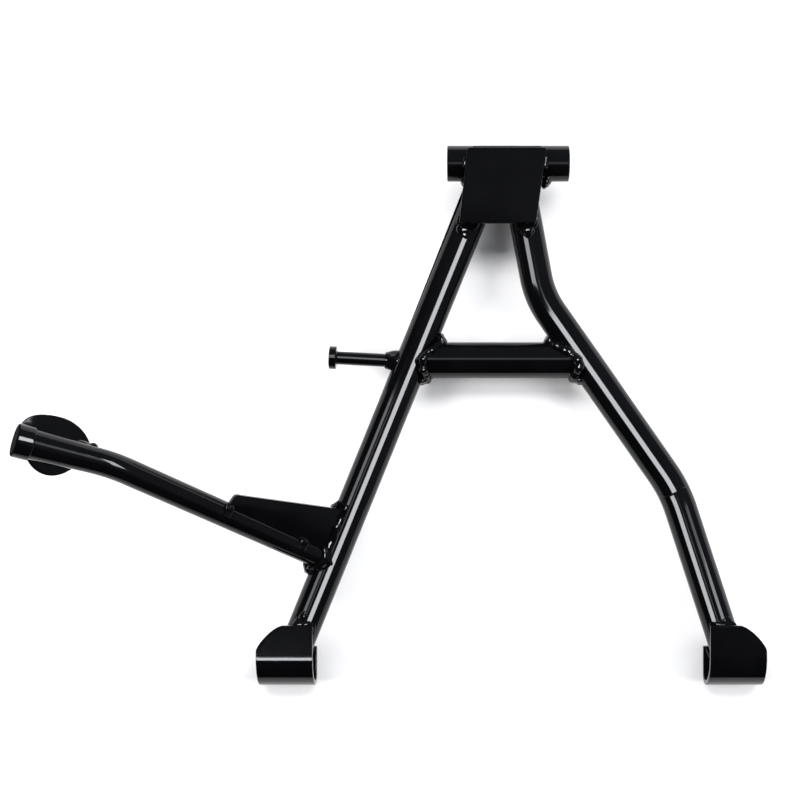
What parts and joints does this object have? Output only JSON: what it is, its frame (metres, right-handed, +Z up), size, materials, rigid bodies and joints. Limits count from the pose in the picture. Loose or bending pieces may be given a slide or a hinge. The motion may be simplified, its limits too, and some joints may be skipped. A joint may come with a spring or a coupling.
{
  "type": "motorcycle centre stand",
  "caption": "Welded tubular motorcycle centre stand: pivot tube with plate, two legs with strap feet, crossbar, spring pin and foot lever with pedal.",
  "frame": {"origin": "middle of the pivot tube, on its axis", "axes": "+X along the pivot axis towards the bent leg, -Y from the pivot towards the feet, +Z up off the surface that the stand lies on; the foot lever is on the -X side"},
  "size_m": [0.4871, 0.3785, 0.1488],
  "materials": {
    "black_paint": "gloss black powder coat on steel",
    "painted_weld": "gloss black powder coat over rippled weld beads"
  },
  "bodies": {
    "root": {"pivot_tube": "black_paint", "top_plate": "black_paint", "left_leg": "black_paint", "right_leg": "black_paint", "crossbar": "black_paint", "left_foot": "black_paint", "right_foot": "black_paint", "lever_tube": "black_paint", "lever_end_cap": "black_paint", "lever_gusset": "black_paint", "pedal_plate": "black_paint", "spring_pin": "black_paint", "left_leg_pivot_weld": "painted_weld", "right_leg_pivot_weld": "painted_weld", "plate_edge_weld": "painted_weld", "plate_left_side_weld": "painted_weld", "plate_right_side_weld": "painted_weld", "plate_left_leg_weld": "painted_weld", "plate_right_leg_weld": "painted_weld", "crossbar_left_weld": "painted_weld", "crossbar_right_weld": "painted_weld", "left_foot_front_weld": "painted_weld", "left_foot_back_weld": "painted_weld", "right_foot_front_weld": "painted_weld", "right_foot_back_weld": "painted_weld", "lever_leg_weld": "painted_weld", "gusset_leg_weld": "painted_weld", "gusset_lever_weld": "painted_weld", "pedal_weld": "painted_weld", "pin_weld": "painted_weld"}
  },
  "joints": []
}
